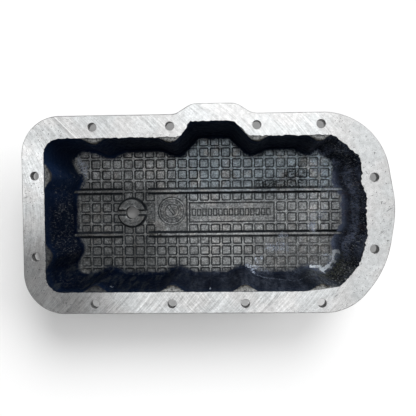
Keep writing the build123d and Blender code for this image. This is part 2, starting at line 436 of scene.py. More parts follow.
def inner_wall(b, slot):
    """Wall rows from the mouth down to the floor; gives back the mouth line."""
    counts = counts_for(wall_line(1, DEPTH), 1.25)
    opening = sampled(OPENING, counts_for(OPENING, 0.4))
    first = sampled(wall_line(0, FIRST_DEPTH), counts)
    mouth = [nearest_on(p, opening) for p in first]
    normals = normals_of(mouth)
    ragged = [p + n * mouth_jag(p.x, p.y) for p, n in zip(mouth, normals)]
    softer = [p + n * (0.6 * mouth_jag(p.x, p.y) - 0.25) for p, n in zip(mouth, normals)]
    rows = [b.row(ragged, HEIGHT, WALL_FILM), b.row(softer, HEIGHT - 0.7, WALL_FILM)]

    def cast_row(corners, z, much, down=0):
        line = sampled(corners, counts)
        row = []
        for p, n in zip(line, normals_of(line)):
            q = p + n * wall_bumps(p.x, p.y, z) * much
            marks = (foot_film(q.x, q.y, z, down), flow_line(q.x, q.y, z), 0, 0)
            row.append(b.add(q.x, q.y, z, marks))
        rows.append(row)

    cast_row(wall_line(0, FIRST_DEPTH), LEDGE_TOP, 0.25)
    ledge_rows = 5
    for k in range(1, ledge_rows + 1):
        s = k / ledge_rows
        depth = FIRST_DEPTH + (DEPTH - FIRST_DEPTH) * s ** 0.8
        z = LEDGE_TOP - (LEDGE_TOP - LEDGE_LOW) * s ** 1.6
        cast_row(wall_line(0, depth), z, 0.3 + 0.3 * s)
    foot = RIDGE_Z + FOOT_R
    wall_rows = 34
    for k in range(1, wall_rows + 1):
        z = LEDGE_LOW + (foot - LEDGE_LOW) * (k / wall_rows)
        cast_row(wall_line(lean(z), DEPTH), z, 0.75)
    fillet_rows = 5
    for k in range(1, fillet_rows + 1):
        a = pi / 2 * k / fillet_rows
        inset = FOOT_R * (1 - cos(a))
        z = foot - FOOT_R * sin(a) - (0.35 if k == fillet_rows else 0)
        cast_row(grown(wall_line(1, DEPTH), -inset), z, 0.75 - 0.1 * k, k / fillet_rows)
    b.skin(rows, slot)
    return ragged


def flange(b, mouth, top_slot, side_slot, hole_slot):
    """Top face, edge and bolt holes; gives back the outline of the underside."""
    counts = counts_for(FLANGE, 1.6)
    edge = sampled(grown(FLANGE, -0.01), counts)
    plain_edge = sampled(grown(FLANGE, -0.75), counts)
    inner_edge = [
        p + n * (0.3 * rough(p.x, p.y, 2, 2) + 0.25 * rough(p.x, p.y, 5, 7))
        for p, n in zip(plain_edge, normals_of(plain_edge))
    ]
    under = HEIGHT - FLANGE_T
    rims = bolt_circles(HOLE_R + CHAMFER)
    b.sheet([inner_edge, mouth] + rims, HEIGHT, top_slot, True)
    b.skin([b.row(inner_edge, HEIGHT), b.row(edge, HEIGHT - FLANGE_EDGE)], side_slot, True)
    b.skin([b.row(edge, HEIGHT - FLANGE_EDGE), b.row(edge, under + FLANGE_EDGE),
            b.row(plain_edge, under)], side_slot, True)
    for rim, wall in zip(rims, bolt_circles(HOLE_R)):
        top = b.row(rim, HEIGHT)
        middle, low = b.row(wall, HEIGHT - CHAMFER), b.row(wall, under)
        b.strip(top, middle, top_slot, False)
        b.strip(middle, low, hole_slot)
    return plain_edge


def outer_skin(b, flange_edge, slot):
    """Underside of the flange, outer wall and underside of the pan."""
    low = wall_line(1, DEPTH)
    counts = counts_for(low, 2.6)
    rows = []
    rise = HEIGHT - FLANGE_T
    wall_rows = 22
    for k in range(wall_rows + 1):
        s = k / wall_rows
        z = rise + (BASE_R - rise) * s
        line = sampled(grown(wall_line(s, DEPTH), WALL_T), counts)
        flare = 1.6 * max(0, 1 - (rise - z) / 4) ** 2
        line = [
            p - n * (flare + 0.22 * rough(p.x, p.y, z, 12) * min(1, 3 * s))
            for p, n in zip(line, normals_of(line))
        ]
        if k == 0:
            b.sheet([flange_edge, line] + bolt_circles(HOLE_R), rise, slot, False)
        rows.append(b.row(line, z))
    for k in range(1, 6):
        a = pi / 2 * k / 5
        base = sampled(grown(low, WALL_T - 4.6 * (1 - cos(a))), counts)
        rows.append(b.row(base, BASE_R - BASE_R * sin(a)))
    b.skin(rows, slot, True)
    seat = drain_circle(SPOT_R)
    b.sheet([base, seat], 0, slot, False)
    b.strip(b.row(seat, SPOT_DEPTH), b.row(seat, 0), slot, False)


def drain_bore(b, slot, floor_slot):
    """Threaded bore through the floor, its spot face and the ring of floor round it."""
    bore = drain_circle(DRAIN_R + 0.8)
    b.sheet([drain_circle(SPOT_R), bore], SPOT_DEPTH, slot, False)
    rows = [b.row(bore, SPOT_DEPTH)]
    steps = 44
    low, top = 1.1, FLOOR_Z + 5
    for k in range(steps + 1):
        z = low + (top - low) * k / steps
        line = []
        for i in range(SIDES):
            a = 2 * pi * i / SIDES
            phase = (z / THREAD_PITCH - i / SIDES) % 1
            r, z_here = DRAIN_R + THREAD_DEPTH * abs(2 * phase - 1), z
            if z > FLOOR_Z - 0.3 and abs(sin(a)) * DRAIN_R < CHANNEL + 0.3:
                r, z_here = LIP_R, FLOOR_Z + 0.02
            line.append(b.add(DRAIN[0] + r * cos(a), DRAIN[1] + r * sin(a), z_here))
        rows.append(line)
    b.skin(rows, slot, True)
    ring, lip = (b.row(drain_circle(r), FLOOR_Z + 0.04, PATTERNED) for r in (17.5, LIP_R))
    b.strip(ring, lip, floor_slot)


# Raised pads
def pad(b, loop, low, high, bevel, slot):
    """A raised form over a closed loop, with a rounded upper edge."""
    normals = normals_of(loop)
    # Painted shade: dark film at the foot, half as much at the top of the side.
    rows = [b.row(loop, low, FOOT_DARK)]
    for k in range(4):
        a = pi / 2 * k / 3
        inset = bevel * (1 - cos(a))
        line = [p + n * inset for p, n in zip(loop, normals)]
        rows.append(b.row(line, high - bevel + bevel * sin(a), NO_MARKS if k else EDGE_DARK))
    b.skin(rows, slot)
    b.sheet([line], high, slot, True)


def boss_half(b, side, slot):
    """One C-shaped half of the drain boss."""
    outer, inner = math.asin(CHANNEL / BOSS_R), math.asin(CHANNEL / LIP_R)
    loop = []
    for k in range(41):
        a = outer + (pi - 2 * outer) * k / 40
        loop.append(Vector((BOSS_R * cos(a), BOSS_R * sin(a))))
    for k in range(1, 6):
        x = -BOSS_R * cos(outer) + (BOSS_R - DRAIN_R - 0.5) * k / 6
        loop.append(Vector((x, CHANNEL)))
    for k in range(25):
        a = pi - inner - (pi - 2 * inner) * k / 24
        loop.append(Vector((LIP_R * cos(a), LIP_R * sin(a))))
    for k in range(1, 6):
        loop.append(Vector((DRAIN_R - 0.5 + (BOSS_R - DRAIN_R) * k / 6, CHANNEL)))
    turned = [Vector((DRAIN[0] + p.x * side, DRAIN[1] + p.y * side)) for p in loop]
    ragged = [p + n * 0.22 * rough(p.x, p.y, 4, 2.5)
              for p, n in zip(turned, normals_of(turned))]
    pad(b, ragged, FLOOR_Z - 0.5, FLOOR_Z + 5.5, 0.7, slot)


def ring_pad(b, outer, inner, low, high, slot):
    """Low rounded ring of the dial."""
    middle, half = (outer + inner) / 2, (outer - inner) / 2
    rows = []
    for k in range(7):
        a = pi * k / 6
        line = circle(*DIAL, middle + half * cos(a), 96)
        # Painted shade at both feet of the ring, as dark film.
        marks = FOOT_DARK if k in (0, 6) else NO_MARKS
        rows.append(b.row(line, low + (high - low) * sin(a) ** 0.6, marks))
    b.skin(rows, slot)


def bar_loop(cx, cy, angle, length, width):
    """Closed rounded rectangle, drawn counterclockwise."""
    points = []
    r = min(length, width) * 0.3
    for sx, sy, start in ((1, 1, 0), (-1, 1, 90), (-1, -1, 180), (1, -1, 270)):
        for k in range(4):
            a = radians(start + 30 * k)
            x, y = sx * (length / 2 - r) + r * cos(a), sy * (width / 2 - r) + r * sin(a)
            points.append(Vector((x, y)))
    c, s = cos(angle), sin(angle)
    return [Vector((cx + p.x * c - p.y * s, cy + p.x * s + p.y * c)) for p in points]


def dial_bar(r, angle, length, width):
    """Bar along a radius of the dial, at a distance r from its centre."""
    x, y = DIAL[0] + r * cos(angle), DIAL[1] + r * sin(angle)
    return bar_loop(x, y, angle, length, width)


def dial_and_plate(b, slot):
    """Rings, ticks and pointer of the dial, and the row of bars on the plate."""
    low, high = FLOOR_Z - 0.1, FLOOR_Z + 0.75
    ring_pad(b, 15.6, 14.2, low, high, slot)
    ring_pad(b, 9.8, 8.6, low, high, slot)
    for k in range(12):
        pad(b, dial_bar(TICK_R, radians(30 * k), 3.2, 1.2), low, high - 0.1, 0.3, slot)
    pad(b, dial_bar(POINTER_R, POINTER, 11, 2.2), low, high, 0.4, slot)
    for k in range(15):
        x = BAR_X + k * BAR_SPAN / 14
        pad(b, bar_loop(x, 0, 0, 3, 6.4), low, FLOOR_Z + 0.5, 0.3, slot)


# Waffle floor, with areas that have no waffle: from x, to x and half the width
DIAL_AREA = (-60.9, -25.9, 20.8)
PLATE_AREA = (-22.8, 75.7, 11.2)
ROUGH_AREA = (-73.6, -63.9, 11.2)
# The long ribs are broken between these two positions
RIB_BREAK = (-101.0, -72.5)


def on(area, x, y):
    return area[0] < x < area[1] and abs(y) < area[2]


def ridge_distance(v, origin):
    """Distance from v to the nearest line of the grid."""
    return abs((v - origin + PITCH / 2) % PITCH - PITCH / 2)


def floor_height(x, y, flat):
    """Height of the floor at x, y; flat is true in the plain margin along the wall."""
    near = min(ridge_distance(x, GRID_X0), ridge_distance(y, 0))
    wander = 0.12 * rough(x, y, 0, 7) + 0.07 * rough(x, y, 5, 2.2)
    z = RIDGE_Z
    if not flat:
        z = FLOOR_Z + (RIDGE_Z - FLOOR_Z) * (1 - ramp(0.75, 1.75, near))
    if on(DIAL_AREA, x, y) or on(PLATE_AREA, x, y):
        z = FLOOR_Z
    if on(ROUGH_AREA, x, y):
        z = FLOOR_Z + 0.35 + 0.5 * rough(x, y, 2, 2.6)
    if hypot(x - DRAIN[0], y - DRAIN[1]) < BOSS_R + 1.3:
        z = FLOOR_Z
    off_rib = abs(abs(y) - RIB_Y)
    left, right = RIB_BREAK
    if off_rib < 1.8 and not left <= x <= right:
        full = ramp(right + 1.5, -60, x) if x > right else 1 - ramp(left - 3, left, x)
        top = RIDGE_Z + RIB_RISE * full
        z = max(z, z + (top - z) * (1 - ramp(1, 1.9, off_rib)))
    return z + wander


def floor_marks(x, y, flat, wall):
    """Dark film, oxide, dirt and pattern strength at x, y; the film is oil film and painted shade
    at the wall's foot, and painted shade further out.
    """
    p = Vector((x, y))
    d = (nearest_on(p, wall) - p).length
    right = ramp(118, 132, x) * ramp(-52, -44, y)
    front = ramp(-45, -55, y) * (1 - right)
    middle = 3.3 + 0.6 * right - 0.3 * front
    half = 2.6 + 0.6 * right + 0.9 * front
    # Dark film at the wall's foot, partly oil film and partly painted shade.
    film = 1 - ramp(middle - half, middle + half, d + 1.6 * rough(x, y, 6, 9))
    # Painted shade: the floor darkens over about 11 mm towards the walls, less at the ends.
    ends = max(ramp(-138, -148, x), ramp(125, 138, x))
    film = max(film, 0.66 * (1 - ends) * (1 - ramp(2, 11, d)))
    ends = max(ramp(-128, -138, x), ramp(118, 128, x))
    pattern = ramp(1.5, 2.5 + 4.5 * ends + 1.5, d + 1.5 * rough(x, y, 2, 7))
    if flat:
        pattern = min(pattern, 0.35)
    if on(ROUGH_AREA, x, y):
        film = max(film, 0.3 + 0.6 * rough(x, y, 8, 2))
        pattern = 0.2
    return film, patch(x, y, OXIDE), patch(x, y, DIRT), pattern


def line_marks(low, high, origin):
    """Grid positions from low to high, close together near each ridge."""
    marks = []
    n = math.floor((low - origin) / PITCH) - 1
    while origin + PITCH * n < high + PITCH:
        for off in (-1.9, -0.85, 0, 0.85, 1.9, 3.4, 4.8, 6.35, 7.9, 9.3):
            v = origin + PITCH * n + off
            if low <= v <= high:
                marks.append(v)
        n += 1
    return sorted(marks)


def waffle_floor(b, slot):
    foot = wall_line(1, DEPTH)
    counts = counts_for(foot, 3)
    wall = sampled(foot, counts)
    limit = sampled(grown(foot, -1.2), counts)
    margin = sampled(grown(foot, -3.3), counts)
    xs = line_marks(-160, 160, GRID_X0)
    ys = line_marks(-78, 92, 0)
    index = {}
    for j, y in enumerate(ys):
        over, plain = crossings(limit, y), crossings(margin, y)
        for i, x in enumerate(xs):
            if within(x, over):
                flat = not within(x, plain)
                marks = floor_marks(x, y, flat, wall)
                index[i, j] = b.add(x, y, floor_height(x, y, flat), marks)
    for j in range(len(ys) - 1):
        for i in range(len(xs) - 1):
            keys = ((i, j), (i + 1, j), (i + 1, j + 1), (i, j + 1))
            mx, my = (xs[i] + xs[i + 1]) / 2, (ys[j] + ys[j + 1]) / 2
            if hypot(mx - DRAIN[0], my - DRAIN[1]) < BOSS_R - 1.75:
                continue
            if all(k in index for k in keys):
                b.face(tuple(index[k] for k in keys), slot)


def wall_rib(b, slot):
    """Small upright rib on the front wall."""
    x0, top, length, half, reach = 2.4, 85, 52, 1.25, 2.3
    rows = []
    for k in range(27):
        z = top - length * k / 26
        y = FRONT_Y + DRAFT * lean(z) - 0.6
        out = reach * sin(pi * min(1, (k + 0.4) / 5) / 2)
        out *= sin(pi * min(1, (26.4 - k) / 5) / 2)
        row = []
        for i in range(9):
            a = pi * i / 8
            x = x0 - half * cos(a) + 0.3 * rough(0, 0, z, 8)
            # Painted highlight on the middle of the rib near its upper end, carried as oxide.
            pale = 0.55 if 2 < i < 6 and 76 < z < 83 else 0
            row.append(b.add(x, y + out * sin(a), z, (1, pale, 0, 0)))
        rows.append(row)
    for upper, lower in zip(rows, rows[1:]):
        for i in range(8):
            b.face((upper[i], upper[i + 1], lower[i + 1], lower[i]), slot)


# Materials
class Nodes:
    """Shader nodes of one tree; a value is a number or the output of a node."""

    def __init__(self, tree):
        self.tree = tree

    def new(self, kind, **values):
        """New node of a kind, with values for its inputs; _ stands for a space in a name."""
        node = self.tree.nodes.new("ShaderNode" + kind)
        for name, value in values.items():
            self.put(node.inputs[name.replace("_", " ")], value)
        return node

    def join(self, a, b):
        self.tree.links.new(a, b)

    def put(self, socket, value):
        """Joins an output to the socket, or sets a number or a colour on it."""
        if hasattr(value, "is_output"):
            self.join(value, socket)
        elif isinstance(value, tuple):
            socket.default_value = value + (1.0,)
        else:
            socket.default_value = value

    def math(self, operation, a, b=0.0):
        node = self.new("Math")
        node.operation = operation
        self.put(node.inputs[0], a)
        self.put(node.inputs[1], b)
        return node.outputs[0]

    def chain(self, operation, result, *others):
        for other in others:
            result = self.math(operation, result, other)
        return result

    times = partialmethod(chain, "MULTIPLY")
    plus = partialmethod(chain, "ADD")
    minus = partialmethod(chain, "SUBTRACT")
    most = partialmethod(chain, "MAXIMUM")
    least = partialmethod(chain, "MINIMUM")

    def less(self, *values):
        """One minus the product of the values."""
        return self.minus(1, self.times(*values))

    def off(self, value, centre):
        """Distance of a value from a centre."""
        return self.math("ABSOLUTE", self.minus(value, centre))

    def length(self, a, b):
        return self.math("SQRT", self.plus(self.times(a, a), self.times(b, b)))


class Paint(Nodes):
    """Nodes of one material, in millimetres; colours are red, green and blue."""

    def __init__(self, name):
        self.material = bpy.data.materials.new(name)
        self.material.use_nodes = True
        super().__init__(self.material.node_tree)
        self.bsdf = self.tree.nodes["Principled BSDF"]
        scale = self.new("VectorMath")
        scale.operation = "SCALE"
        self.join(self.new("TexCoord").outputs["Object"], scale.inputs[0])
        scale.inputs["Scale"].default_value = 1000
        self.mm = scale.outputs[0]
        self.x, self.y, self.z = self.new("SeparateXYZ", Vector=self.mm).outputs

    def step(self, value, low, high, to_low=0, to_high=1):
        """Smooth change from to_low to to_high while the value goes from low to high."""
        node = self.new(
            "MapRange", Value=value, From_Min=low, From_Max=high, To_Min=to_low, To_Max=to_high)
        node.interpolation_type = "SMOOTHSTEP"
        return node.outputs["Result"]

    def band(self, value, a, b, c, d):
        """Rises from a to b and falls from c to d."""
        return self.minus(self.step(value, a, b), self.step(value, c, d))

    def zone(self, x=None, y=None, z=None):
        """Part of the object: two numbers give a soft edge along an axis, four give a band."""
        parts = []
        for value, edges in ((self.x, x), (self.y, y), (self.z, z)):
            if edges:
                parts.append((self.step if len(edges) == 2 else self.band)(value, *edges))
        return self.times(*parts)

    def noise(self, size, detail=3, harsh=0.55, at=None):
        at = at or self.mm
        node = self.new("TexNoise", Vector=at, Scale=1 / size, Detail=detail, Roughness=harsh)
        return node.outputs["Fac"]

    def clouds(self, size, detail, harsh, low, high, to_low=0, to_high=1, at=None):
        """Noise whose middle part, from low to high, is stretched out by step."""
        return self.step(self.noise(size, detail, harsh, at), low, high, to_low, to_high)

    def vector(self, x, y, z=0):
        return self.new("CombineXYZ", X=x, Y=y, Z=z).outputs[0]

    def stretched(self, x, y, z):
        return self.vector(self.times(self.x, x), self.times(self.y, y), self.times(self.z, z))

    def mix(self, factor, a, b):
        node = self.new("Mix")
        node.data_type = "RGBA"
        for number, value in ((0, factor), (6, a), (7, b)):
            self.put(node.inputs[number], value)
        return node.outputs[2]

    def over(self, base, colour, *amounts):
        """The base with a colour laid over it by the product of the amounts."""
        return self.mix(self.times(*amounts), base, colour)

    def marks(self):
        """The four vertex marks."""
        node = self.new("Attribute")
        node.attribute_name = "marks"
        split = self.new("SeparateColor", Color=node.outputs["Color"])
        return [*split.outputs, node.outputs["Alpha"]]

    def finish(self, base, metallic, roughness, relief, distance, strength):
        """Joins colour, roughness and relief to the shader; gives back the material."""
        bump = self.new("Bump", Distance=distance, Strength=strength, Height=relief).outputs[0]
        self.bsdf.inputs["Metallic"].default_value = metallic
        for name, value in zip(("Base Color", "Roughness", "Normal"), (base, roughness, bump)):
            self.join(value, self.bsdf.inputs[name])
        return self.material


def grey(v, r=1, g=1, b=1):
    return (v * r, v * g, v * b)


BLACK = grey(0)


def from_point(p, x, y):
    """Distance in plan from a point."""
    return p.length(p.off(p.x, x), p.off(p.y, y))


# Radius of the face mill, and scuffs on the milled face: x, y and size
CUTTER_R = 135.0
SCUFFS = [(181, 3, 9), (172, -18, 7), (150, -87, 5), (126, -82, 6), (-181, 18, 6)]


def cutter_arcs(p, side, size, detail):
    """Lines left by a large face mill that travels along x."""
    rest = p.most(p.minus(CUTTER_R ** 2, p.times(p.y, p.y)), 1)
    u = p.minus(p.x, p.times(p.math("SQRT", rest), side))
    return p.noise(size, detail, 0.6, p.vector(u, p.times(p.y, 0.06)))


def milled_tone_and_painted_reflection(p):
    """How bright the milled face is from place to place: random tone, with painted reflection that
    darkens the front left and the right and lightens the back and the left side.
    """
    # Painted reflection: a little brighter at the back and at the left side, darker at the right.
    tone = p.plus(
        p.clouds(48, 3, 0.55, 0.35, 0.65, 0.55, 0.6),
        p.times(p.zone((-70, -10, 85, 120), (60, 90)), 0.05),
        p.times(p.zone((-150, -170), (0, 50, 62, 85)), 0.16),
        p.times(p.step(p.x, 105, 150), p.step(p.y, -80, 0, -0.07, -0.12)))
    # Painted reflection: the front left is made darker, by up to two thirds.
    return p.times(tone, p.less(p.zone((-55, -140), (25, -50)), 0.66))


def milled_face():
    """Bright milled gasket face with cutter arcs, scuffs and small pits."""
    p = Paint("milled_aluminium")
    front = p.zone((110, 60), (-55, -85))
    fine = p.step(cutter_arcs(p, 1, 1.2, 4), 0.3, 0.7, -0.17, 0.15)
    wide = p.step(cutter_arcs(p, 1, 5, 2), 0.35, 0.65, -0.06, 0.05)
    cross = p.step(cutter_arcs(p, -1, 1.8, 4), 0.34, 0.66, -0.2, 0.16)
    strong = p.band(p.x, -55, -35, 5, 30)
    crossed = p.times(cross, front, p.plus(0.3, p.times(strong, 0.55)))
    blotch = p.clouds(4, 5, 0.75, 0.34, 0.66, -0.14, 0.12)
    speck = p.clouds(1.2, 2, 0.6, 0.3, 0.7, -0.1, 0.09)
    lined = p.times(p.step(p.x, 118, 155, 1, 0.25), p.plus(1, p.times(front, 0.35)))
    grain = p.plus(1, p.times(p.plus(fine, wide), lined), crossed, blotch, speck)
    tone = p.times(milled_tone_and_painted_reflection(p), grain)
    corner, slant = p.zone((-125, -131), (76, 78)), p.plus(p.x, p.y)
    groove = p.times(p.band(slant, -57.5, -56.5, -53.5, -52.6), corner)
    scratch = p.times(p.band(slant, -52.4, -51.9, -51.2, -50.7), corner)
    tone = p.plus(p.times(tone, p.less(groove, 0.16)), p.times(scratch, 0.22))
    where = p.most(p.step(p.off(p.x, 0), 100, 155), p.clouds(38, 1, 0.55, 0.5, 0.7))
    pits = p.times(p.clouds(2, 2, 0.7, 0.615, 0.67), where, 0.65)
    drawn = p.vector(p.plus(p.x, p.times(p.y, -1.4)), p.times(p.y, 0.4))
    marks = p.clouds(2.2, 3, 0.7, 0.52, 0.62, at=drawn)
    for x, y, size in SCUFFS:
        near = p.step(from_point(p, x, y), size, size * 0.3)
        pits = p.most(pits, p.times(near, marks, 0.5))
    tone = p.times(tone, p.less(pits))
    tint = p.mix(p.clouds(30, 2, 0.55, 0.4, 0.6), (1, 1, 1), (0.975, 1, 1.01))
    roughness = p.clouds(7, 4, 0.55, 0.3, 0.7, 0.42, 0.55)
    relief = p.plus(cutter_arcs(p, 1, 0.6, 2), p.times(pits, -1.5))
    return p.finish(p.mix(tone, BLACK, tint), 0.75, roughness, relief, 0.00005, 0.6)


# Fields without the waffle: centre and half size out to the ridge lines round them
DIAL_FIELD = ((GRID_X0 * 2 + 15 * PITCH) / 2, 0, 1.5 * PITCH, RIB_Y - 3.15)
PLATE_FIELD = ((GRID_X0 * 2 + 26 * PITCH) / 2, 0, 4 * PITCH, PITCH)
# Radius of the pockets' corners, and a distance beyond the pan's ends
POCKET_R = 2.8
FAR = 30 * PITCH


def ridge_reach(p, x, y):
    """Distance to the nearest ridge line of the waffle or to the frame of a field."""
    u = p.minus(POCKET_R, p.math("PINGPONG", p.minus(x, GRID_X0 - FAR), PITCH / 2))
    v = p.minus(POCKET_R, p.math("PINGPONG", p.plus(y, FAR), PITCH / 2))
    edge = p.plus(p.length(p.most(u, 0), p.most(v, 0)), p.least(p.most(u, v), 0))
    near = p.minus(POCKET_R, edge)
    for cx, cy, half_x, half_y in (DIAL_FIELD, PLATE_FIELD):
        right = p.minus(cx + half_x, x)
        inner = p.least(p.minus(half_x, p.off(x, cx)), p.minus(half_y, p.off(y, cy)))
        share = p.step(inner, -0.3, 0.3)
        kept = right if half_y > PITCH else inner
        near = p.plus(p.times(share, kept), p.times(p.less(share), near))
    return near


def dial_lines(p, x, y):
    """Painted shade round the feet of the dial's rings, ticks and pointer, heaviest at the upper
    left of the outer ring, and painted highlights on the rings, brightest at the lower right, and
    on the pointer.
    """
    dx, dy = p.minus(x, DIAL[0]), p.minus(y, DIAL[1])
    r = p.length(dx, dy)
    lower = p.step(p.minus(dx, dy), -12, 12)
    turn = p.math("PINGPONG", p.plus(p.math("ARCTAN2", dy, dx), 4 * pi), pi / 12)
    tick = p.most(p.minus(p.times(turn, TICK_R), 0.6), p.minus(p.off(r, TICK_R), 1.6))
    c, s = cos(POINTER), sin(POINTER)
    along_it = p.plus(p.times(dx, c), p.times(dy, s))
    across_it = p.plus(p.times(dx, -s), p.times(dy, c))
    hand = p.most(p.minus(p.off(along_it, POINTER_R), 5.5), p.minus(p.off(across_it, 0), 1.1))
    dark = p.most(
        p.times(p.band(r, 15.4, 15.9, 16.5, 17.2), p.step(lower, 0, 1, 1, 0.55)),
        p.times(p.band(r, 12.9, 13.3, 13.9, 14.4), 0.75),
        p.times(p.band(r, 7.2, 7.7, 8.5, 9), 0.7),
        p.times(p.band(r, 9.6, 9.9, 10.3, 10.8), 0.5),
        p.times(p.band(tick, -0.1, 0.2, 0.7, 1.1), 0.65),
        p.times(p.band(hand, -0.1, 0.2, 0.9, 1.4), 0.85))
    bright = p.most(
        p.times(p.band(r, 14.1, 14.5, 15.2, 15.5), p.step(lower, 0, 1, 0.25, 1)),
        p.times(p.band(r, 8.7, 9, 9.5, 9.8), 0.5),
        p.times(p.step(hand, 0, -0.4), 0.5))
    return dark, bright


def bar_lines(p, x, y):
    """Painted shade as dark lines round the bars on the plate."""
    pitch = BAR_SPAN / 14
    turn = p.math("PINGPONG", p.minus(x, BAR_X - 20 * pitch), pitch / 2)
    reach = p.most(p.minus(turn, 1.5), p.minus(p.off(y, 0), 3.2))
    there = p.band(x, -21.2, -20.4, 71.8, 72.6)
    return p.times(p.band(reach, -0.5, 0, 0.8, 1.5), there)


def waffle_lines(p, pattern):
    """Painted shade as dark lines at the feet of the raised forms, and painted highlights that
    make their tops brighter.
    """
    wobble = p.times(p.minus(p.noise(5, 3, 0.6), 0.5), 1.3)
    x, y = p.plus(p.x, wobble), p.plus(p.y, wobble)
    near = ridge_reach(p, x, y)
    reach = from_point(p, *DRAIN)
    from_rib = p.off(p.math("ABSOLUTE", y), RIB_Y)
    along_rib = p.less(p.band(p.x, -101.5, -100.5, -72.5, -71))
    clear = p.times(p.less(p.step(from_rib, 3.6, 2.9), along_rib),
            p.step(reach, BOSS_R + 1.4, BOSS_R + 2.2))
    # Painted shade as dark lines along the waffle ridges, the ribs, the drain boss and its slots.
    grid = p.times(p.band(near, 0.5, 0.95, 2.05, 2.7), pattern, clear)
    back = p.step(p.math("ABSOLUTE", p.y), RIB_Y - 0.5, RIB_Y + 0.5)
    weaker = p.times(back, p.step(p.x, -80, -40), 0.15)
    rib = p.times(p.band(from_rib, 1, 1.5, 3.7, 4.6), along_rib, p.minus(1.06, weaker))
    from_slot = p.off(y, DRAIN[1])
    slot = p.times(p.band(from_slot, 1.5, 2.2, 3.6, 4.3),
            p.band(reach, LIP_R, DRAIN_R + 1, BOSS_R + 0.4, BOSS_R + 1.2))
    boss = p.times(p.band(reach, BOSS_R - 0.7, BOSS_R - 0.1, BOSS_R + 1.8, BOSS_R + 2.8),
            p.step(from_slot, 1.6, 2.6))
    dial, bright = dial_lines(p, x, y)
    patchy = p.times(p.clouds(16, 3, 0.55, 0.3, 0.6, 0.78, 1), p.step(p.x, 0, 80, 1, 0.9),
            p.less(p.zone((52, 76), (-20, -33)), 0.36))
    fine = p.times(p.most(grid, dial, bar_lines(p, x, y)), patchy)
    # Painted highlights on the tops of the ribs and the waffle ridges, broken into patches, and on
    # the drain's rim.
    rib_top = p.times(p.step(from_rib, 1.2, 0.6), along_rib, p.step(p.x, -110, 0, 0, 0.45))
    tops = p.most(p.times(p.step(near, 0.8, 0.3), pattern, clear, 0.22), rib_top, bright)
    patchy_highlight = p.clouds(3.5, 4, 0.7, 0.38, 0.62, 0.25, 1)
    rim = p.band(reach, DRAIN_R, LIP_R, DRAIN_R + 0.9, DRAIN_R + 1.9)
    return p.most(fine, rib, boss, slot), p.most(p.times(tops, patchy_highlight), rim)


def floor_colour(p, oxide, dirt, pattern):
    """Grey cast floor under a thin film, with painted shade: darker towards the left, cool at the
    back; painted shade in its creases and painted highlights on its ridges.
    """
    # Painted shade and light: darker towards the left and the front, brighter towards the back and
    # the right.
    level = p.plus(p.step(p.x, -95, 20, 0, 0.55), p.times(p.step(p.y, 25, 60), 0.12),
            p.times(p.noise(26, 4, 0.6), 0.6))
    tone = p.step(level, 0.15, 0.95, 0.085, 0.24)
    tone = p.times(tone, p.step(p.y, -55, 15, 0.66, 1), p.step(p.y, 25, 60, 1, 1.25),
            p.step(p.x, 70, 125, 1, 1.55))
    tone = p.times(tone, p.less(p.zone((-40, -80), (42, 22)), 0.32),
            p.plus(1, p.times(p.zone((-40, -80), (22, 42)), 0.2)))
    low_rib = p.times(p.step(p.off(p.y, -RIB_Y), 1.8, 1), p.step(p.x, -95, -105))
    lift = p.plus(1.2, p.step(p.x, -20, -80, 0, 0.28), p.step(p.y, 10, 40, 0, 0.12),
            p.times(p.zone((-45, -12, 34, 58), (-20, -32)), 0.16))
    lift = p.minus(lift, p.times(low_rib, 0.42), p.times(p.zone((50, 100), (20, -20)), 0.26))
    lift = p.plus(lift, p.times(p.zone((112, 132), (-30, -50)), 0.32),
            p.times(p.zone((104, 122), (-46, -20, 22, 36)), 0.36))
    for (cx, cy, half_x, half_y), darker in ((DIAL_FIELD, 0.26), (PLATE_FIELD, 0.2)):
        reach = p.most(p.minus(p.off(p.x, cx), half_x), p.minus(p.off(p.y, cy), half_y))
        lift = p.minus(lift, p.step(reach, -0.2, -2, 0, darker))
    dot = p.step(from_point(p, -26.8, 18.1), 1.6, 0.8, 0, 0.75)
    tone = p.times(tone, lift, p.less(dot))
    for size, detail, harsh, low, high in (
            (6.5, 3, 0.6, 0.76, 1.26), (2.1, 4, 0.75, 0.56, 1.48), (0.9, 3, 0.7, 0.64, 1.38)):
        tone = p.times(tone, p.clouds(size, detail, harsh, 0.34, 0.66, low, high))
    dark, tops = waffle_lines(p, pattern)
    # Painted highlights on the tops of the raised forms.
    tone = p.times(tone, p.plus(1, p.times(tops, 0.75)))
    tint = p.mix(p.zone((-60, -20), (5, 40)), (0.96, 1, 1.02), (0.86, 1, 1.1))
    tint = p.over(tint, (1.02, 1, 0.97), p.clouds(14, 3, 0.55, 0.48, 0.68, 0, 0.7))
    base = p.mix(tone, BLACK, tint)
    soil = grey(0.02, 1, 1.05, 0.95)
    base = p.over(base, soil, dirt, p.clouds(2.4, 4, 0.75, 0.4, 0.56), 1.15)
    # Painted shade in the creases, laid over the floor, weaker where there is oxide.
    return p.over(base, grey(0.01, 0.8, 1, 1.25), dark, p.less(oxide, 0.6), 0.93), dark


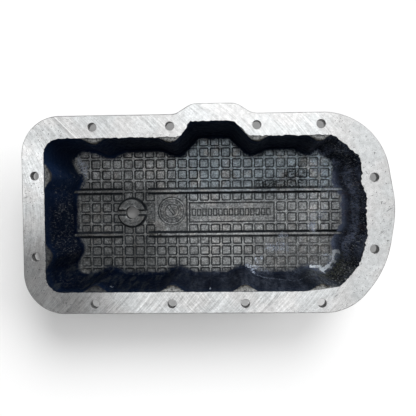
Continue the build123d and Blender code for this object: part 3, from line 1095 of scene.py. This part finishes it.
def wall_colour(p):
    """Blue-black oil film with painted glints as fine specks at the ends, painted reflection as
    grey and blue-grey smears along the front wall, and pale smears and stains at the right.
    """
    drawn = p.stretched(1, 1, 0.2)
    wall = p.mix(p.clouds(6, 4, 0.65, 0.35, 0.7, at=drawn),
            (0.0004, 0.002, 0.008), (0.0022, 0.005, 0.0125))
    blue = p.most(p.zone((-80, -125), (0, 40)), p.step(p.z, 68, 84, 0, 0.4))
    wall = p.over(wall, (0.005, 0.0125, 0.035), blue)
    right, front = p.step(p.x, 95, 150), p.step(p.y, -30, -70)
    smear = p.clouds(9, 4, 0.65, 0.36, 0.66, at=drawn)
    fine = p.clouds(2.2, 4, 0.72, 0.36, 0.62, 0.1, 1, drawn)
    # Painted reflection: grey streaks along the left of the front wall and blue-grey smears along
    # its right.
    reflection_streaks = p.clouds(5, 4, 0.7, 0.5, 0.64, at=p.stretched(1, 1, 0.14))
    wall = p.over(wall, (0.04, 0.046, 0.048), front, reflection_streaks, p.step(p.x, 20, -40), 0.36)
    front_reflection = p.plus(p.times(smear, fine, 0.85), 0.1)
    wall = p.over(wall, (0.062, 0.074, 0.102), front, p.step(p.x, -70, 60), front_reflection)
    middle = p.times(right, p.band(p.z, 24, 44, 56, 70), p.band(p.y, -62, -35, 30, 62))
    pale = p.plus(p.times(right, smear, p.step(p.y, -35, -60, 0.42, 0.13)), p.times(middle, 0.55))
    wall = p.over(wall, (0.44, 0.52, 0.76), pale, fine)
    foot = p.times(right, p.zone(None, (58, 34), (34, 7)))
    wall = p.over(wall, (0.15, 0.185, 0.285), foot, p.clouds(8, 4, 0.7, 0.3, 0.6, 0.45, 1))
    rusty = p.times(right, p.clouds(7, 3, 0.6, 0.52, 0.66, at=drawn))
    wall = p.over(wall, (0.15, 0.095, 0.105), rusty, p.band(p.y, -30, -10, 25, 45), 0.35)
    corner = p.times(right, p.step(p.y, -40, -58), p.clouds(3, 4, 0.78, 0.44, 0.58, at=drawn))
    wall = p.over(wall, (0.19, 0.2, 0.15), corner, p.step(p.z, 70, 30, 0.35, 0.85))
    left = p.times(p.step(p.x, -118, -140), p.band(p.z, 10, 20, 60, 88),
            p.clouds(22, 2, 0.55, 0.36, 0.56), p.step(p.y, 55, 35),
            p.step(p.y, -40, -60, 1, 0.35), 0.36)
    # Painted glints: pale specks on the walls, most at the left and at the right end.
    amount = p.most(left, p.times(right, p.step(p.z, 20, 60, 0.25, 0.7)), 0.03)
    painted_glints = p.clouds(1.3, 3, 0.75, 0.55, 0.66, at=drawn)
    bright = p.mix(right, (0.3, 0.31, 0.32), (0.85, 0.88, 0.92))
    return p.over(wall, bright, painted_glints, amount)


def ledge_colour(p):
    """Bare, stained tops of the bolt bulges, brown further down, darker at the left."""
    stain = p.clouds(2.2, 4, 0.75, 0.36, 0.6)
    low = p.mix(stain, (0.005, 0.006, 0.008), (0.075, 0.07, 0.06))
    high = p.mix(stain, (0.06, 0.062, 0.062), (0.28, 0.285, 0.28))
    bare = p.mix(p.step(p.plus(p.z, p.times(p.noise(3, 3), 4)), 88.2, 90.4), low, high)
    back = p.zone((-80, -50), (40, 60), (86.4, 88.8))
    bare = p.over(bare, (0.6, 0.61, 0.61), back, stain, 0.75)
    # Darker at the left and at the front left.
    darker_ledges = p.most(p.step(p.x, -130, -145, 0, 0.55), p.times(p.zone((-70, -95), (0, -30)), 0.85))
    return p.over(bare, (0.006, 0.007, 0.01), darker_ledges)


def cast_inside():
    """Oil-dark cast walls over a grey floor, with oxide and dirt."""
    p = Paint("oiled_casting")
    film, oxide, dirt, pattern = p.marks()
    floor, dark = floor_colour(p, oxide, dirt, pattern)
    film = p.plus(film, p.times(p.minus(p.noise(3.2, 4, 0.7), 0.5), 0.9))
    ends = p.most(p.step(p.x, -148, -152), p.step(p.x, 140, 148))
    from_rib = p.off(p.math("ABSOLUTE", p.y), RIB_Y)
    run_up = p.times(p.step(from_rib, 2.2, 1.4), p.step(p.z, 15, 12), ends)
    oiled = p.times(p.step(film, 0.12, 0.85), p.less(run_up, 0.85))
    base = p.over(floor, wall_colour(p), oiled)
    broken = p.times(p.minus(p.noise(1.6, 4, 0.8), 0.5), 2.9)
    white = p.step(p.plus(p.times(oxide, 0.66), broken), 0.24, 0.48)
    chalk = p.mix(p.step(oxide, 0.35, 0.75), (0.34, 0.4, 0.52), (0.88, 0.94, 1))
    base = p.over(base, chalk, white, p.step(oxide, 0.02, 0.12), 0.97)
    up = p.new("SeparateXYZ", Vector=p.new("NewGeometry").outputs["Normal"]).outputs[2]
    ledge, shelf = p.zone((146, 135), z=(82.5, 85)), p.zone((135, 146), z=(80, 83))
    base = p.over(base, ledge_colour(p), p.step(up, 0.25, 0.7), ledge)
    base = p.over(base, (0.016, 0.02, 0.03), p.step(up, 0.2, 0.5), shelf, 0.85)
    edge = p.most(p.step(p.x, 120, 150), p.zone((-140, -158), (-10, -50)), 0.45)
    burr = p.times(p.step(p.z, 89.4, 90.6), p.clouds(4, 3, 0.7, 0.42, 0.56), edge)
    base = p.over(base, grey(0.62), burr)
    p.join(p.step(oiled, 0, 1, 0.06, 0.022), p.bsdf.inputs["Specular IOR Level"])
    roughness = p.plus(p.clouds(4, 3, 0.55, 0.3, 0.7, 0.5, 0.7), p.times(oiled, -0.06))
    skin = p.noise(2.4, 4, 0.7, p.stretched(1, 1, 0.3))
    relief = p.plus(p.times(p.noise(0.9, 3, 0.7), 0.5), skin, p.times(dark, -0.4))
    return p.finish(base, 0, roughness, relief, 0.0005, 0.9)


def cast_outside():
    """Bare cast skin on the outside and the underside."""
    p = Paint("cast_aluminium")
    base = p.mix(p.clouds(30, 4, 0.55, 0.35, 0.68),
            grey(0.3, 0.99, 1, 1.01), grey(0.45, 0.99, 1, 1.01))
    base = p.over(base, grey(0.58), p.clouds(0.8, 3, 0.7, 0.4, 0.7, 0, 0.45))
    base = p.over(base, (0.15, 0.135, 0.115), p.clouds(14, 5, 0.7, 0.56, 0.72, 0, 0.6))
    plain = p.less(p.zone((-50, 0), (60, 75)), 0.7)
    base = p.over(base, grey(0.12), p.step(p.z, 90, 90.5, 0, 0.85), plain)
    roughness = p.clouds(5, 3, 0.55, 0.3, 0.7, 0.48, 0.68)
    relief = p.plus(p.times(p.noise(0.8, 2), 0.5), p.noise(2.4, 3, 0.6))
    return p.finish(base, 0.55, roughness, relief, 0.0004, 0.7)


def drilled():
    """Drilled and threaded walls: plain metal with fine turning marks, and painted shade that
    darkens the drain bore deep down.
    """
    p = Paint("drilled_aluminium")
    base = p.mix(p.noise(2, 3), grey(0.17), grey(0.33))
    # Painted shade deep in the drain bore.
    base = p.over(base, grey(0.02), p.step(p.z, 40, 20, 0, 0.85))
    roughness = p.clouds(1.5, 2, 0.55, 0.3, 0.7, 0.34, 0.5)
    turned = p.noise(0.35, 1, 0.5, p.stretched(0.2, 0.2, 3))
    return p.finish(base, 0.8, roughness, turned, 0.00005, 0.5)


# Object
MILLED, INSIDE, OUTSIDE, DRILLED = range(4)


def placed(name, data):
    """A new object in the scene."""
    item = bpy.data.objects.new(name, data)
    bpy.context.scene.collection.objects.link(item)
    return item


def pan_object():
    b = Build()
    mouth = inner_wall(b, INSIDE)
    edge = flange(b, mouth, MILLED, OUTSIDE, DRILLED)
    outer_skin(b, edge, OUTSIDE)
    drain_bore(b, DRILLED, INSIDE)
    waffle_floor(b, INSIDE)
    for side in (1, -1):
        boss_half(b, side, INSIDE)
    dial_and_plate(b, INSIDE)
    wall_rib(b, INSIDE)
    mesh = bpy.data.meshes.new("pan_casting")
    mesh.from_pydata(b.verts, [], b.faces)
    mesh.polygons.foreach_set("material_index", b.slots)
    mesh.polygons.foreach_set("use_smooth", b.smooth)
    attribute = mesh.attributes.new("marks", "FLOAT_COLOR", "POINT")
    attribute.data.foreach_set("color", [value for marks in b.marks for value in marks])
    for material in (milled_face(), cast_inside(), cast_outside(), drilled()):
        mesh.materials.append(material)
    mesh.update()
    print("triangles", sum(len(f) - 2 for f in b.faces))
    return placed("pan_casting", mesh)


pan = pan_object()
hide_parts("oil_pan")
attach(pan, "root")


# Studio
def floor_plane():
    """Plain pale floor, with a painted grey shadow where the pan stands on it."""
    mesh = bpy.data.meshes.new("studio_floor")
    s = 4.0
    mesh.from_pydata([(-s, -s, 0), (s, -s, 0), (s, s, 0), (-s, s, 0)], [], [(0, 1, 2, 3)])
    floor = placed("studio_floor", mesh)
    p = Paint("studio_floor")
    # Painted shadow: grey under the pan and just round it, fading out.
    out_x = p.most(p.minus(p.off(p.x, -5), 140), 0)
    out_y = p.most(p.minus(p.off(p.y, 8), 40), 0)
    pale = p.step(p.length(out_x, out_y), 60, 70)
    p.join(p.mix(pale, grey(0.26), grey(0.9)), p.bsdf.inputs["Base Color"])
    p.bsdf.inputs["Roughness"].default_value = 0.9
    p.bsdf.inputs["Specular IOR Level"].default_value = 0.0
    seen = p.new("LightPath").outputs["Is Camera Ray"]
    glow = p.new("Emission", Color=grey(1), Strength=p.times(seen, 0.02))
    both = p.new("AddShader")
    p.join(p.bsdf.outputs[0], both.inputs[0])
    p.join(glow.outputs[0], both.inputs[1])
    p.join(both.outputs[0], p.tree.nodes["Material Output"].inputs["Surface"])
    mesh.materials.append(p.material)


def world():
    """White surroundings; the light itself comes mostly from overhead."""
    w = bpy.data.worlds.new("studio")
    bpy.context.scene.world = w
    w.use_nodes = True
    n = Nodes(w.node_tree)
    back = n.tree.nodes["Background"]
    n.put(back.inputs["Color"], grey(1))
    up = n.new("SeparateXYZ", Vector=n.new("TexCoord").outputs["Generated"]).outputs[2]
    overhead = n.times(n.math("POWER", n.most(up, 0), 10), 2.6)
    ray = n.new("LightPath").outputs
    seen = n.most(ray["Is Camera Ray"], ray["Is Glossy Ray"], ray["Is Transmission Ray"])
    n.join(n.plus(seen, n.times(n.less(seen), overhead)), back.inputs["Strength"])


def sun(name, way, energy, degrees):
    """Sun lamp that shines from the given direction."""
    data = bpy.data.lights.new(name, "SUN")
    data.energy = energy
    data.angle = radians(degrees)
    item = placed(name, data)
    item.location = way
    item.rotation_euler = (-Vector(way)).to_track_quat("-Z", "Y").to_euler()


def camera():
    """Camera of the photograph, almost straight above the pan."""
    data = bpy.data.cameras.new("camera")
    picture, focal = 416, 500
    data.sensor_width = 36.0
    data.lens = data.sensor_width * focal / picture
    data.clip_start = 0.01
    item = placed("camera", data)
    item.matrix_world = Matrix((
        (0.999488, 0.010634, 0.030193, 0.016488),
        (-0.011377, 0.999634, 0.024526, 0.019299),
        (-0.029921, -0.024857, 0.999243, HEIGHT * 0.001 + 0.5),
        (0, 0, 0, 1)))
    bpy.context.scene.camera = item


floor_plane()
world()
sun("back_key", (0.35, 0.9, 1), 1.9, 30)
sun("right_key", (1.4, 0.6, 1), 1.4, 40)
camera()
bpy.context.scene.view_settings.view_transform = "Standard"
